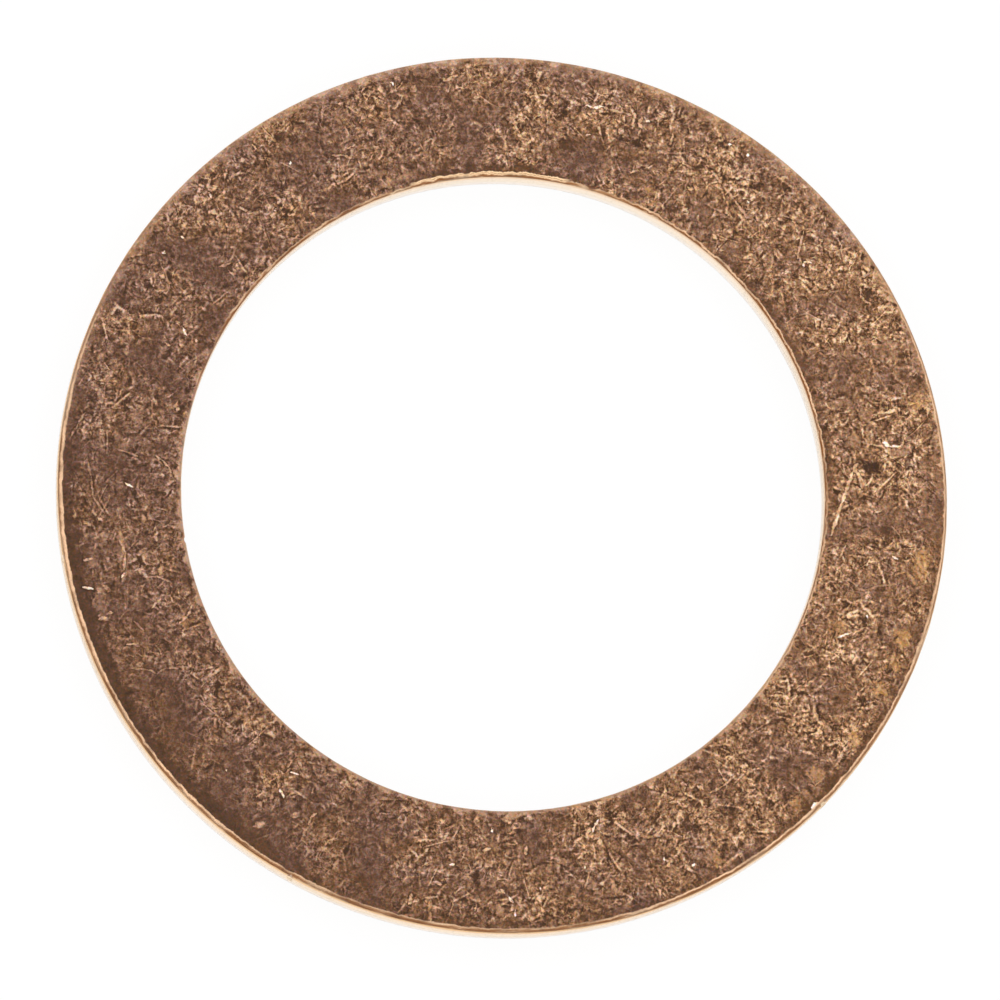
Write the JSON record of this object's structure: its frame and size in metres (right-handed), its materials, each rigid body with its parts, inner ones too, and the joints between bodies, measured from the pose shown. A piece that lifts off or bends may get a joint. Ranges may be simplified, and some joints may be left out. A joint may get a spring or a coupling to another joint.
{
  "type": "drain plug washer",
  "caption": "Flat round soft-copper sealing ring with rolled, punched edges, for the shoulder of an oil drain plug.",
  "frame": {"origin": "on the ring's axis, on its underside", "axes": "+Z along the ring's axis, towards the face with the rolled edges"},
  "size_m": [0.0222, 0.0222, 0.001],
  "materials": {
    "copper": "tumbled soft copper with brown oxide and fine light scratches"
  },
  "bodies": {
    "root": {"washer": "copper"}
  },
  "joints": []
}
